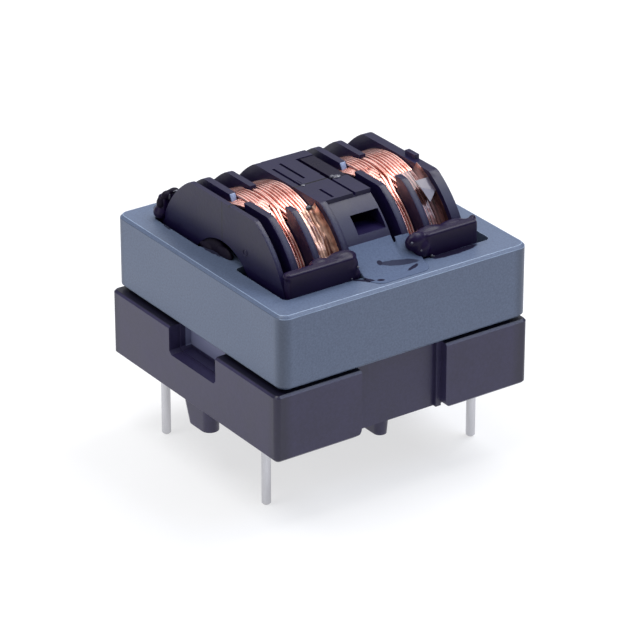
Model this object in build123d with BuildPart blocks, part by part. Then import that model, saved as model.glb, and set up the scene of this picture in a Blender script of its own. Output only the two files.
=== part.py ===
# Common mode choke: two windings on one closed ferrite core, standing on a moulded pin base
import os
from math import cos, radians, sin, sqrt

from build123d import *

os.makedirs("parts", exist_ok=True)

# Driving dimensions in millimetres. X runs along the winding axis, Y across it, Z up.
# The origin lies under the middle of the base, level with the tips of the pins.

# Pins and stand-off feet
PIN_D = 0.8
PIN_HELD_W = 0.7         # the upper part, coined square, that the base holds
PIN_INSET_X = 2.2        # from the sides of the base to the pins
PIN_INSET_Y = 4.8        # from the front and back of the base to the pins
PIN_BELOW = 6.5          # from the underside of the base to the pin tips
PIN_INSIDE = 3.7         # from the underside of the base to the pin's upper end
PIN_TIP = 0.15
FOOT_DROP = 2.4
FOOT_W = 1.6
FOOT_TAPER = 5.0
SIDE_FOOT_LEN = 4.1
SIDE_FOOT_INSET = 1.45   # from the side of the base to the foot's middle
SIDE_FOOT_SLOPE = 0.9    # how far the sloping end of a side foot runs in
END_FOOT_LEN = 2.8
END_FOOT_INSET = 2.65    # from the front of the base to the foot's end

# Bobbin, split along its length into a front and a back half
FLANGE_R = 9.6
FLAT_CUT = 1.27          # how much lower than the rims the flats of the flanges are
FLAT_CORNER_R = 1.2
BORE_R = 4.75
TUBE_R = 5.4
END_FLANGE_T = 0.45
IDLE_SLOT = 0.85
FLANGE_T = 0.65
NARROW_CHAMBER = 1.65
MID_FLANGE_T = 0.6
WIDE_CHAMBER = 2.25
INNER_FLANGE_T = 0.63
BLOCK_W = 4.5
DRIVE_SLOT = 0.82
LAST_FLANGE_T = 0.9
SLOT_DEPTH = 1.05        # the idle and drive slots, below the flats
BLOCK_BELOW = 0.35       # the middle block's curved faces, below the rims
BLOCK_LID = 0.75
BLOCK_WALL = 0.35
LIP_T = 0.45
GROOVE_W = 0.25
GROOVE_DEPTH = 0.3
GROOVE_BACK = 3.0        # how far behind the axis the shortest groove runs
GROOVE_RIGHT = 2.85      # from the block's left face to the lid's right groove
LID_STEP = 0.35          # how much lower the lid is right of that groove, behind
LID_STEP_Y = -1.45
TONGUE_Y = 1.07          # how far the back half's snap tongue reaches over the front half
APERTURE_W = 2.8
APERTURE_H = 1.3
APERTURE_TOP = 1.3       # from the flat down to the aperture's upper edge
LUG_W = 1.4
LUG_T = 0.45
LUG_H = 0.4
LUG_Y = -1.5

# Running clearances
FLANGE_CLEAR = 0.25      # flange rims to the core's window
END_CLEAR = 0.5          # bobbin's left end to the core's window
DRIVE_ROOM = 1.85        # bobbin's right end to the core's window
FLOOR_CLEAR = 0.325      # lower flats to the base's floor
SEAM = 0.05
CROSSING_CLEAR = 0.2     # the crossing wires to the sides of their gap

# Core
CORE_SIDE_WALL = 2.1
CORE_END_WALL = 2.6
CORE_H = 6.65
CORE_SHIFT_X = 0.25      # the core sits a little off the middle of the base
CORE_CORNER_R = 1.0
CORE_EDGE = 0.25
LEG_W = 5.0
WINDOW_R = 0.5

# Base
SIDE_LEDGE = 0.3         # how far the base stands out past the core's sides
BASE_FLOOR = 1.0
BASE_CORNER_R = 0.5
BASE_RIM = 0.2
BASE_FOOT = 0.2
SEAT_RISE = 0.3          # the ring that carries the core, above the rim
SEAT_INSET = 1.1         # from the outer face of the base to that ring
RECESS_W = 8.6           # shallow recess in the front and back faces
RECESS_R = 0.4
RECESS_FOOT_R = 0.7      # lower corners of the faces beside the recess
RECESS_STRIP_W = 0.5     # narrow step beside one corner of the recess
RECESS_STRIP_T = 0.35
NOTCH_W = 7.0            # stepped notch in the two side faces
NOTCH_H = 2.55
NOTCH_DEPTH = 2.1
NOTCH_STEP = 0.15
NOTCH_CORNER = 0.3
POCKET = 1.5             # square pocket round the upper end of each pin

# Windings, tape and leads
WIRE_D = 0.35
RIDGE_PITCH = 1.0
WINDING_BELOW = 0.1      # the outermost turns, below the flats
CROSSING_BELOW = 0.3
TAPE_T = 0.1
TAPE_W = 2.05
TAPE_START_ANGLE = 32.0  # from the top of the winding towards the front
TAPE_END_ANGLE = 106.0
LEAD_ANGLE = 42.5        # where a lead leaves its winding, below the axis

# Retaining bars and resin
BAR_H = 2.07             # above the core
BAR_T = 1.0
BAR_FOOT = 1.6           # how deep a bar wedges between the flange rims and the core
BAR_CLEAR = 0.05
BAR_EDGE = 0.12
LEFT_BAR_LEN = 6.6
RIGHT_BAR_LEN = 5.35
BAR_OVERHANG = 0.5       # how far the right bars reach past the last flange
RESIN_FILM = 0.12
RESIN_REACH = 2.1        # how far the resin runs out over the core
RESIN_TOE = 0.7
RESIN_SINK = 0.8
RESIN_RISE = 2.0
RESIN_SPILL = 1.57       # how far the resin spreads past the middle block
RESIN_CORNER = 1.5
DROP = 0.6

# Sizes that follow from the dimensions above
FLAT_H = FLANGE_R - FLAT_CUT
SLOT_ROOT_R = FLAT_H - SLOT_DEPTH
BLOCK_R = FLANGE_R - BLOCK_BELOW
BLOCK_CAVITY_R = FLAT_H - BLOCK_LID
WINDING_R = FLAT_H - WINDING_BELOW
CROSSING_R = FLAT_H - CROSSING_BELOW
LIP_Y = sqrt(FLANGE_R ** 2 - FLAT_H ** 2)
TONGUE_W = GROOVE_RIGHT - GROOVE_W / 2 - BLOCK_WALL
WOUND_SPAN = FLANGE_T + NARROW_CHAMBER + MID_FLANGE_T + WIDE_CHAMBER
PERIOD = WOUND_SPAN + INNER_FLANGE_T + BLOCK_W + DRIVE_SLOT
BOBBIN_LEN = END_FLANGE_T + IDLE_SLOT + PERIOD + WOUND_SPAN + LAST_FLANGE_T
WINDOW_Y = FLANGE_R + FLANGE_CLEAR
WINDOW_LEN = END_CLEAR + BOBBIN_LEN + DRIVE_ROOM
CORE_X = WINDOW_LEN + 2 * CORE_SIDE_WALL
CORE_Y = 2 * (WINDOW_Y + CORE_END_WALL)
BASE_X = CORE_X + 2 * SIDE_LEDGE
BASE_Y = CORE_Y
BASE_H = BASE_FLOOR + FLOOR_CLEAR + FLAT_H - CORE_H / 2 - SEAT_RISE
PIN_X = BASE_X / 2 - PIN_INSET_X
PIN_Y = BASE_Y / 2 - PIN_INSET_Y

# Heights
BASE_Z = PIN_BELOW
RIM_Z = BASE_Z + BASE_H
CORE_Z = RIM_Z + SEAT_RISE
CORE_TOP = CORE_Z + CORE_H
AXIS_Z = CORE_Z + CORE_H / 2
FLOOR_Z = BASE_Z + BASE_FLOOR

# Stations along the bobbin, each the left face of what it names
BOBBIN_X = CORE_SHIFT_X - WINDOW_LEN / 2 + END_CLEAR
FLANGE_X = BOBBIN_X + END_FLANGE_T + IDLE_SLOT
NARROW_X = FLANGE_X + FLANGE_T
MID_X = NARROW_X + NARROW_CHAMBER
WIDE_X = MID_X + MID_FLANGE_T
INNER_X = WIDE_X + WIDE_CHAMBER
BLOCK_X = INNER_X + INNER_FLANGE_T
DRIVE_X = BLOCK_X + BLOCK_W
LAST_X = INNER_X + PERIOD
BOBBIN_END = LAST_X + LAST_FLANGE_T
CAVITY_X = max(-BOBBIN_X, BOBBIN_END) + END_CLEAR / 2

WINDING_AXIS = Axis((0, 0, AXIS_Z), (1, 0, 0))
AXIAL_PLANE = Plane(origin=(0, 0, AXIS_Z), x_dir=(1, 0, 0), z_dir=(0, -1, 0))


def cross_plane(x):
    """The plane across the winding axis at x, with Y to the right and Z up."""
    return Plane(origin=(x, 0, AXIS_Z), x_dir=(0, 1, 0), z_dir=(1, 0, 0))


def ring_section(x, width, inner, outer, mode=Mode.ADD):
    """A rectangle in the axial plane that revolves into a ring."""
    with Locations((x, inner)):
        Rectangle(width, outer - inner, align=(Align.MIN, Align.MIN), mode=mode)


def crossing_outline(clear):
    """The gap in a middle flange for the crossing wires, narrowed by clear on each side."""
    return [
        (clear - 3.9, FLAT_H),
        (clear - 4.3, SLOT_ROOT_R),
        (clear - 2.2, TUBE_R),
        (0.6 - clear, TUBE_R),
        (1.2 - clear, FLAT_H),
    ]


# Core: a closed frame with a centre leg along the winding axis
with BuildPart() as core:
    with BuildSketch(Plane.XY.offset(CORE_Z)):
        with Locations((CORE_SHIFT_X, 0)):
            RectangleRounded(CORE_X, CORE_Y, CORE_CORNER_R)
        window_w = WINDOW_Y - LEG_W / 2
        with Locations(
            (CORE_SHIFT_X, -WINDOW_Y + window_w / 2),
            (CORE_SHIFT_X, WINDOW_Y - window_w / 2),
        ):
            RectangleRounded(WINDOW_LEN, window_w, WINDOW_R, mode=Mode.SUBTRACT)
    extrude(amount=CORE_H)
    rims = core.faces().filter_by(Axis.Z)
    chamfer([edge for face in rims for edge in face.outer_wire().edges()], CORE_EDGE)
core.part.label = "core"

# Base: an open box whose ring carries the core, with four feet moulded on
with BuildPart() as base:
    with BuildSketch(Plane.XY.offset(BASE_Z)):
        RectangleRounded(BASE_X, BASE_Y, BASE_CORNER_R)
    extrude(amount=BASE_H)
    chamfer(base.faces().sort_by(Axis.Z)[-1].edges(), BASE_RIM)
    chamfer(base.faces().sort_by(Axis.Z)[0].edges(), BASE_FOOT)
    with BuildSketch(Plane.XY.offset(RIM_Z)):
        Rectangle(BASE_X - 2 * SEAT_INSET, BASE_Y - 2 * SEAT_INSET)
    extrude(amount=SEAT_RISE)

    # The shallow recess runs the full height of the front and back faces
    with BuildSketch(Plane.XY.offset(BASE_Z)):
        with Locations((0, -BASE_Y / 2), (0, BASE_Y / 2)):
            Rectangle(RECESS_W, 2 * SEAT_INSET)
    extrude(amount=BASE_H + SEAT_RISE, mode=Mode.SUBTRACT)
    corners = base.edges().filter_by(Axis.Z).filter_by(lambda e: abs(abs(e.center().X) - RECESS_W / 2) < 0.01)
    fillet(corners.filter_by(lambda e: abs(e.center().Y) < BASE_Y / 2 - SEAT_INSET + 0.01), RECESS_R)
    with BuildSketch(Plane.XY.offset(BASE_Z)):
        for end in (-1, 1):
            with Locations((-end * RECESS_W / 2, end * (BASE_Y / 2 - SEAT_INSET))):
                Rectangle(2 * RECESS_STRIP_W, 2 * RECESS_STRIP_T)
    extrude(amount=BASE_H)

    # The faces beside the recess have round lower corners
    with BuildSketch(Plane.XZ.offset(-BASE_Y / 2)):
        for side in (-1, 1):
            corner_x = side * (RECESS_W / 2 + RECESS_FOOT_R / 2)
            with Locations((corner_x, BASE_Z + RECESS_FOOT_R / 2)):
                Rectangle(RECESS_FOOT_R, RECESS_FOOT_R)
            with Locations((corner_x + side * RECESS_FOOT_R / 2, BASE_Z + RECESS_FOOT_R)):
                Circle(RECESS_FOOT_R, mode=Mode.SUBTRACT)
    extrude(amount=SEAT_INSET, mode=Mode.SUBTRACT)
    with BuildSketch(Plane.XZ.offset(BASE_Y / 2)):
        for side in (-1, 1):
            corner_x = side * (RECESS_W / 2 + RECESS_FOOT_R / 2)
            with Locations((corner_x, BASE_Z + RECESS_FOOT_R / 2)):
                Rectangle(RECESS_FOOT_R, RECESS_FOOT_R)
            with Locations((corner_x + side * RECESS_FOOT_R / 2, BASE_Z + RECESS_FOOT_R)):
                Circle(RECESS_FOOT_R, mode=Mode.SUBTRACT)
    extrude(amount=-SEAT_INSET, mode=Mode.SUBTRACT)

    # The notch in each side is deeper inside than it is wide, with one small step
    for side in (-1, 1):
        face_plane = Plane(
            origin=(side * BASE_X / 2, 0, RIM_Z + SEAT_RISE),
            x_dir=(0, side, 0),
            z_dir=(side, 0, 0),
        )
        for step, depth in ((0, SEAT_INSET), (NOTCH_STEP, NOTCH_DEPTH)):
            with BuildSketch(face_plane) as opening:
                notch_h = NOTCH_H + SEAT_RISE - step
                Rectangle(NOTCH_W - 2 * step, notch_h, align=(Align.CENTER, Align.MAX))
                low = opening.vertices().group_by(Axis.Z)[0]
                chamfer(low, NOTCH_CORNER)
            extrude(amount=-depth, mode=Mode.SUBTRACT)

    # Cavity for the lower part of the bobbin
    with BuildSketch(Plane.XY.offset(FLOOR_Z)):
        RectangleRounded(2 * CAVITY_X, 2 * WINDOW_Y, WINDOW_R)
    extrude(amount=RIM_Z + SEAT_RISE - FLOOR_Z, mode=Mode.SUBTRACT)

    # A pocket round each pin joins the cavity, so that a lead can reach the pin
    with BuildSketch(Plane.XY.offset(FLOOR_Z)):
        for side in (-1, 1):
            reach = PIN_X + POCKET / 2 - CAVITY_X + WINDOW_R
            with Locations(
                (side * (PIN_X + POCKET / 2 - reach / 2), -PIN_Y),
                (side * (PIN_X + POCKET / 2 - reach / 2), PIN_Y),
            ):
                Rectangle(reach, POCKET)
    extrude(amount=RIM_Z + SEAT_RISE - FLOOR_Z, mode=Mode.SUBTRACT)

    # Side feet stand in the middle of the two sides, each with one sloping end
    for side in (-1, 1):
        foot_x = side * (BASE_X / 2 - SIDE_FOOT_INSET)
        with BuildSketch(Plane.XY.offset(BASE_Z - FOOT_DROP)):
            with Locations(Location((foot_x, -side * SIDE_FOOT_SLOPE / 2, 0), (0, 0, 90))):
                SlotOverall(SIDE_FOOT_LEN - SIDE_FOOT_SLOPE, FOOT_W)
        with BuildSketch(Plane.XY.offset(BASE_Z)):
            with Locations(Location((foot_x, -side * SIDE_FOOT_SLOPE, 0), (0, 0, 90))):
                SlotOverall(SIDE_FOOT_LEN, FOOT_W)
        loft()
    # End feet stand under the floor, in line with the middle of the front and back
    for end in (-1, 1):
        foot_y = end * (BASE_Y / 2 - END_FOOT_INSET - END_FOOT_LEN / 2)
        with BuildSketch(Plane.XY.offset(BASE_Z)):
            with Locations(Location((0, foot_y, 0), (0, 0, 90))):
                SlotOverall(END_FOOT_LEN, FOOT_W)
        extrude(amount=-FOOT_DROP, taper=FOOT_TAPER)

    with Locations((0, 0, BASE_Z - FOOT_DROP)):
        with GridLocations(2 * PIN_X, 2 * PIN_Y, 2, 2):
            Box(
                PIN_HELD_W,
                PIN_HELD_W,
                BASE_FLOOR + FOOT_DROP,
                align=(Align.CENTER, Align.CENTER, Align.MIN),
                mode=Mode.SUBTRACT,
            )
base.part.label = "base"

# Spool: both halves of the bobbin in one, before they are parted
with BuildPart() as spool:
    with BuildSketch(AXIAL_PLANE):
        ring_section(BOBBIN_X, BOBBIN_LEN, BORE_R, TUBE_R)
        ring_section(BOBBIN_X, END_FLANGE_T + IDLE_SLOT, BORE_R, SLOT_ROOT_R)
        ring_section(BOBBIN_X, END_FLANGE_T, BORE_R, FLANGE_R)
        for start in (FLANGE_X, FLANGE_X + PERIOD):
            ring_section(start, FLANGE_T, BORE_R, FLANGE_R)
            ring_section(start + MID_X - FLANGE_X, MID_FLANGE_T, BORE_R, FLANGE_R)
        ring_section(INNER_X, INNER_FLANGE_T, BORE_R, FLANGE_R)
        ring_section(BLOCK_X, BLOCK_W, BORE_R, BLOCK_R)
        ring_section(DRIVE_X, DRIVE_SLOT, BORE_R, SLOT_ROOT_R)
        ring_section(LAST_X, LAST_FLANGE_T, BORE_R, FLANGE_R)
        ring_section(
            BLOCK_X + BLOCK_WALL,
            BLOCK_W - 2 * BLOCK_WALL,
            TUBE_R,
            BLOCK_CAVITY_R,
            mode=Mode.SUBTRACT,
        )
    revolve(axis=WINDING_AXIS)
    with BuildSketch(cross_plane(BOBBIN_X)) as outline:
        Circle(FLANGE_R)
        Rectangle(2 * FLANGE_R, 2 * FLAT_H, mode=Mode.INTERSECT)
        fillet(outline.vertices(), FLAT_CORNER_R)
    extrude(amount=BOBBIN_LEN, mode=Mode.INTERSECT)

    # The lid of the middle block overhangs its curved front and back
    with Locations((BLOCK_X, 0, AXIS_Z + FLAT_H)):
        Box(BLOCK_W, 2 * LIP_Y, LIP_T, align=(Align.MIN, Align.CENTER, Align.MAX))

    # Each outer flange is open at the top, where the wire enters
    for start in (FLANGE_X, FLANGE_X + PERIOD):
        with BuildSketch(cross_plane(start)):
            with BuildLine():
                Polyline(
                    (-1.3, FLAT_H), (-1.7, SLOT_ROOT_R), (0.3, SLOT_ROOT_R), (0.9, FLAT_H),
                    close=True,
                )
            make_face()
        extrude(amount=FLANGE_T, mode=Mode.SUBTRACT)

    # Each middle flange is open from the top down to the tube, where the wire crosses over
    for start in (MID_X, MID_X + PERIOD):
        with BuildSketch(cross_plane(start)):
            with BuildLine():
                Polyline(*crossing_outline(0), close=True)
            make_face()
            Circle(TUBE_R, mode=Mode.SUBTRACT)
        extrude(amount=MID_FLANGE_T, mode=Mode.SUBTRACT)

    # Opening in the curved front of the middle block
    aperture_middle = BLOCK_X + BLOCK_W - BLOCK_WALL / 2 - APERTURE_W / 2
    with Locations((aperture_middle, 0, AXIS_Z + FLAT_H - APERTURE_TOP)):
        Box(
            APERTURE_W,
            FLANGE_R,
            APERTURE_H,
            align=(Align.CENTER, Align.MAX, Align.MAX),
            mode=Mode.SUBTRACT,
        )

    # Grooves in the lid: three behind the snap tongue, two in front of it
    lid_grooves = (
        (0.05, -TONGUE_Y, GROOVE_BACK),
        (1.15, -TONGUE_Y, GROOVE_BACK + 0.6),
        (GROOVE_RIGHT, -LIP_Y, LID_STEP_Y),
        (0.92, -LIP_Y + GROOVE_DEPTH, -TONGUE_Y - 5 * GROOVE_DEPTH),
    )
    for from_left, front_y, back_y in lid_grooves:
        with Locations((BLOCK_X + from_left, front_y, AXIS_Z + FLAT_H)):
            Box(
                GROOVE_W,
                back_y - front_y,
                GROOVE_DEPTH,
                align=(Align.CENTER, Align.MIN, Align.MAX),
                mode=Mode.SUBTRACT,
            )
    # The lid is lower behind its right groove
    with Locations((BLOCK_X + GROOVE_RIGHT - GROOVE_W / 2, LID_STEP_Y, AXIS_Z + FLAT_H)):
        Box(
            BLOCK_W - GROOVE_RIGHT + GROOVE_W / 2,
            GROOVE_BACK + 0.6 - LID_STEP_Y,
            LID_STEP,
            align=(Align.MIN, Align.MIN, Align.MAX),
            mode=Mode.SUBTRACT,
        )

    # Wire guide on top of the last flange
    with Locations((BOBBIN_END, LUG_Y, AXIS_Z + FLAT_H - LUG_H)):
        Box(LUG_T, LUG_W, 2 * LUG_H, align=(Align.MAX, Align.CENTER, Align.MIN))

# The halves meet on the vertical plane through the axis, apart from the snap tongue
tongue_x = BLOCK_X + BLOCK_WALL
tongue_root = BLOCK_CAVITY_R - BLOCK_WALL / 3
with BuildPart() as bobbin_front:
    add(spool.part)
    split(bisect_by=Plane.XZ, keep=Keep.TOP)
    with Locations((tongue_x, 0, AXIS_Z + tongue_root)):
        Box(
            TONGUE_W,
            TONGUE_Y,
            FLAT_H - tongue_root,
            align=(Align.MIN, Align.MAX, Align.MIN),
            mode=Mode.SUBTRACT,
        )
bobbin_front.part.label = "bobbin_front"

with BuildPart() as bobbin_back:
    add(spool.part)
    split(bisect_by=Plane.XZ, keep=Keep.BOTTOM)
    with Locations((tongue_x + SEAM, 0, AXIS_Z + BLOCK_CAVITY_R)):
        Box(
            TONGUE_W - 2 * SEAM,
            TONGUE_Y - SEAM,
            FLAT_H - BLOCK_CAVITY_R,
            align=(Align.MIN, Align.MAX, Align.MIN),
        )
bobbin_back.part.label = "bobbin_back"


def coil_outline(x, width):
    """A chamber full of wire: its outer edge rises over each turn and dips between turns."""
    turns = round(width / RIDGE_PITCH)
    pitch = width / turns
    crest = [(x, TUBE_R)]
    for turn in range(turns):
        left = x + turn * pitch
        crest.append((left, WINDING_R - 0.35 * WIRE_D))
        crest.append((left + pitch / 2, WINDING_R))
    crest.append((x + width, WINDING_R - 0.35 * WIRE_D))
    crest.append((x + width, TUBE_R))
    return crest


# Windings: each fills a narrow and a wide chamber, and crosses over between them
windings = {}
for number, shift in (("1", 0), ("2", PERIOD)):
    with BuildPart() as winding:
        with BuildSketch(AXIAL_PLANE):
            for left, width in ((NARROW_X, NARROW_CHAMBER), (WIDE_X, WIDE_CHAMBER)):
                with BuildLine():
                    Polyline(*coil_outline(left + shift, width), close=True)
                make_face()
        revolve(axis=WINDING_AXIS)
        with BuildSketch(cross_plane(MID_X + shift)):
            with BuildLine():
                Polyline(*crossing_outline(CROSSING_CLEAR), close=True)
            make_face()
            Circle(CROSSING_R, mode=Mode.INTERSECT)
            Circle(TUBE_R, mode=Mode.SUBTRACT)
        extrude(amount=MID_FLANGE_T)
    winding.part.label = f"winding_{number}"
    windings[number] = winding.part

# Tape: a strip over the front of each wide chamber
tapes = {}
for number, shift in (("1", 0), ("2", PERIOD)):
    with BuildPart() as tape:
        with BuildSketch(cross_plane(WIDE_X + shift + (WIDE_CHAMBER - TAPE_W) / 2)):
            Circle(WINDING_R + TAPE_T)
            Circle(WINDING_R, mode=Mode.SUBTRACT)
            with BuildLine():
                Polyline(
                    (0, 0),
                    *(
                        (-2 * FLANGE_R * sin(radians(angle)), 2 * FLANGE_R * cos(radians(angle)))
                        for angle in (TAPE_START_ANGLE, (TAPE_START_ANGLE + TAPE_END_ANGLE) / 2, TAPE_END_ANGLE)
                    ),
                    close=True,
                )
            make_face(mode=Mode.INTERSECT)
        extrude(amount=TAPE_W)
    tape.part.label = f"tape_{number}"
    tapes[number] = tape.part

# Pins: round wire below the base, coined square where the base holds it
pins = {}
for name, side, end in (
    ("front_left", -1, -1),
    ("front_right", 1, -1),
    ("back_left", -1, 1),
    ("back_right", 1, 1),
):
    with BuildPart() as pin:
        with Locations((side * PIN_X, end * PIN_Y, 0)):
            Cylinder(PIN_D / 2, PIN_BELOW, align=(Align.CENTER, Align.CENTER, Align.MIN))
        chamfer(pin.edges().filter_by(GeomType.CIRCLE).sort_by(Axis.Z)[0], PIN_TIP)
        with Locations((side * PIN_X, end * PIN_Y, PIN_BELOW)):
            Box(PIN_HELD_W, PIN_HELD_W, PIN_INSIDE, align=(Align.CENTER, Align.CENTER, Align.MIN))
        chamfer(pin.faces().sort_by(Axis.Z)[-1].edges(), PIN_TIP)
    pin.part.label = f"pin_{name}"
    pins[name] = pin.part

# Leads: each leaves its winding square to the axis and runs along it to a pin
lead_r = WINDING_R + WIRE_D / 10
lead_cos = cos(radians(LEAD_ANGLE))
lead_sin = sin(radians(LEAD_ANGLE))
lead_z = AXIS_Z - PIN_Y * lead_sin / lead_cos
leads = {}
for name, side, end, start in (
    ("front_left", -1, -1, NARROW_X + NARROW_CHAMBER / 2),
    ("front_right", 1, -1, NARROW_X + PERIOD + NARROW_CHAMBER / 2),
    ("back_left", -1, 1, WIDE_X + WIDE_CHAMBER / 2),
    ("back_right", 1, 1, WIDE_X + PERIOD + WIDE_CHAMBER / 2),
):
    route = [
        (start, end * lead_r * lead_cos, AXIS_Z - lead_r * lead_sin),
        (start, end * PIN_Y, lead_z),
        (side * (PIN_X - PIN_HELD_W / 2), end * PIN_Y, lead_z),
    ]
    with BuildPart() as lead:
        with BuildLine() as path:
            Polyline(*route)
        with BuildSketch(Plane(origin=path.line @ 0, z_dir=path.line % 0)):
            Circle(WIRE_D / 2)
        sweep(transition=Transition.RIGHT)
    lead.part.label = f"lead_{name}"
    leads[name] = lead.part

# Retaining bars: each wedges between the flange rims and the core's window, and stands above the core
bars = {}
left_bar = (BOBBIN_X, BOBBIN_X + LEFT_BAR_LEN, 1)
right_bar = (BOBBIN_END + BAR_OVERHANG - RIGHT_BAR_LEN, BOBBIN_END + BAR_OVERHANG, -1)
for name, (left, right, round_side), end in (
    ("front_left", left_bar, -1),
    ("front_right", right_bar, -1),
    ("back_left", left_bar, 1),
    ("back_right", right_bar, 1),
):
    with BuildPart() as bar:
        with BuildSketch(cross_plane(left)):
            with Locations((end * (WINDOW_Y - BAR_T / 2), CORE_H / 2 - BAR_FOOT)):
                Rectangle(BAR_T, BAR_H + BAR_FOOT, align=(Align.CENTER, Align.MIN))
            Circle(FLANGE_R + BAR_CLEAR, mode=Mode.SUBTRACT)
        extrude(amount=right - left)
        tall_edges = bar.edges().filter_by(Axis.Z).group_by(Axis.X)[-1 if round_side > 0 else 0]
        chamfer(tall_edges, BAR_T * 0.25)
        chamfer(bar.faces().sort_by(Axis.Z)[-1].edges(), BAR_EDGE)
    bar.part.label = f"retainer_{name}"
    bars[name] = bar.part

# Resin: it bonds the middle block to the core in front and behind, and spreads to one side
resins = {}
rise = CORE_H / 2
reach = WINDOW_Y + RESIN_REACH
for name, end in (("front", -1), ("back", 1)):
    with BuildPart() as resin:
        for start, width, inner_r in (
            (BLOCK_X, BLOCK_W, BLOCK_R),
            (DRIVE_X, RESIN_SPILL, FLANGE_R),
        ):
            meet = sqrt(inner_r ** 2 - (rise + RESIN_RISE) ** 2)
            with BuildSketch(cross_plane(start)):
                with BuildLine():
                    high = (end * meet, rise + RESIN_RISE)
                    toe = (end * (WINDOW_Y + RESIN_TOE), rise + RESIN_FILM)
                    hollow = ((high[0] + toe[0]) / 2, rise + 0.42 * RESIN_RISE)
                    ThreePointArc(high, hollow, toe)
                    Polyline(
                        toe,
                        (end * (reach - RESIN_FILM), rise + RESIN_FILM),
                        (end * reach, rise),
                        (end * WINDOW_Y, rise),
                        (end * WINDOW_Y, rise - RESIN_SINK),
                        (0, rise - RESIN_SINK),
                        high,
                    )
                make_face()
                Circle(inner_r, mode=Mode.SUBTRACT)
            extrude(amount=width)
        with BuildSketch(Plane.XY.offset(CORE_TOP - RESIN_SINK)) as spread:
            with Locations(((2 * BLOCK_X + BLOCK_W + RESIN_SPILL) / 2, 0)):
                Rectangle(BLOCK_W + RESIN_SPILL, 2 * reach)
            fillet(spread.vertices(), RESIN_CORNER)
        extrude(amount=RESIN_SINK + RESIN_RISE, mode=Mode.INTERSECT)
    resin.part.label = f"resin_{name}"
    resins[name] = resin.part

# A drop of resin on the left end of the back left bar
with BuildPart() as resin_drop:
    drop_y = WINDOW_Y - BAR_T / 2
    with BuildSketch(Plane(origin=(BOBBIN_X, drop_y, CORE_TOP), x_dir=(0, -1, 0), z_dir=(-1, 0, 0))):
        Rectangle(BAR_T, BAR_H + DROP / 2, align=(Align.CENTER, Align.MIN))
    extrude(amount=DROP)
    chamfer(resin_drop.faces().sort_by(Axis.X)[0].edges(), DROP / 3)
resin_drop.part.label = "resin_drop"

for solid in (
    core.part,
    base.part,
    bobbin_front.part,
    bobbin_back.part,
    resin_drop.part,
    *windings.values(),
    *tapes.values(),
    *pins.values(),
    *leads.values(),
    *bars.values(),
    *resins.values(),
):
    export_step(solid, f"parts/{solid.label}.step")
    print(f"{solid.label}: {solid.volume:.2f} mm3")
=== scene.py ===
"""Common mode choke: two copper windings on a closed ferrite core, standing on a moulded pin base."""

from __future__ import annotations

import logging
import math
from dataclasses import dataclass
from enum import Enum
from typing import Sequence

import bpy
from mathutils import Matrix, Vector, noise


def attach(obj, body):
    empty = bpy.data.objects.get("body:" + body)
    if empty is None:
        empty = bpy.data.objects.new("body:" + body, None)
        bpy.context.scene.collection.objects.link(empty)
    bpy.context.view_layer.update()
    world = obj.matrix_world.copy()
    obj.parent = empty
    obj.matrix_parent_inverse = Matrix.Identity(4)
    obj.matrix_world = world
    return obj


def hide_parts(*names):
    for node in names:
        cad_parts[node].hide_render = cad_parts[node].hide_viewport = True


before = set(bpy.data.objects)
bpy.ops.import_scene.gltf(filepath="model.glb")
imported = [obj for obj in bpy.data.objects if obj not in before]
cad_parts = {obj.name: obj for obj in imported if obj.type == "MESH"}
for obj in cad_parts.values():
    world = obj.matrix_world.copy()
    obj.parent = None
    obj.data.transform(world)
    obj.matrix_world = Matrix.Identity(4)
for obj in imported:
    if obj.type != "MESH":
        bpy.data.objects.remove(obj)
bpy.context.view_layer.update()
LOG = logging.getLogger("choke")

Colour = tuple[float, float, float]
Point = tuple[float, float, float]
Lump = tuple[Point, Point]
Lumps = tuple[Lump, ...]
Piece = bpy.types.Object
Material = bpy.types.Material
Socket = bpy.types.NodeSocket

MM = 0.001
QUARTER_TURN = math.pi / 2
PLACES = ("front_left", "front_right", "back_left", "back_right")

# Places in millimetres that several classes share: the bobbin's axis, the core's top,
# and the way from the left winding to the right one.
AXIS_Z = 16.155
CORE_TOP = 19.38
WINDING_STEP = 11.1

# The second material slot of the core and the mouldings is for their rounded edges, which carry a painted
# highlight with wear.
EDGE_SLOT = 1
ROUNDED_ABOVE = 28.0


class Axis(Enum):
    """An axis of the part's frame."""

    X = "X"
    Y = "Y"
    Z = "Z"


class Operation(Enum):
    """What a Math node works out."""

    ADD = "ADD"
    MULTIPLY = "MULTIPLY"
    MAXIMUM = "MAXIMUM"
    ABSOLUTE = "ABSOLUTE"
    BELOW = "LESS_THAN"
    ABOVE = "GREATER_THAN"


# Modelling helpers.


def metres(point: Sequence[float]) -> Point:
    """Returns a point given in millimetres in metres."""
    return tuple(part * MM for part in point)


def around_axis(x: float, radius: float, degrees: float) -> Point:
    """Returns the point in metres at x along the bobbin's axis, turned forwards from the top."""
    angle = math.radians(degrees)
    return metres((x, -radius * math.sin(angle), AXIS_Z + radius * math.cos(angle)))


def ease(share: float) -> float:
    """Returns a share of a way from 0 to 1, with a soft start and end."""
    return share * share * (3 - 2 * share)


def select_only(*pieces: Piece) -> None:
    """Selects some objects and nothing else, and makes the first one active.

    Args:
        pieces: The objects.
    """
    bpy.ops.object.select_all(action="DESELECT")
    for piece in pieces:
        piece.select_set(True)
    bpy.context.view_layer.objects.active = pieces[0]


def edit_all(piece: Piece) -> None:
    """Opens a piece in edit mode, with all of it selected.

    Args:
        piece: The piece.
    """
    select_only(piece)
    bpy.ops.object.mode_set(mode="EDIT")
    bpy.ops.mesh.select_all(action="SELECT")


def close_edit() -> None:
    """Goes back to object mode."""
    bpy.ops.object.mode_set(mode="OBJECT")


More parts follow.
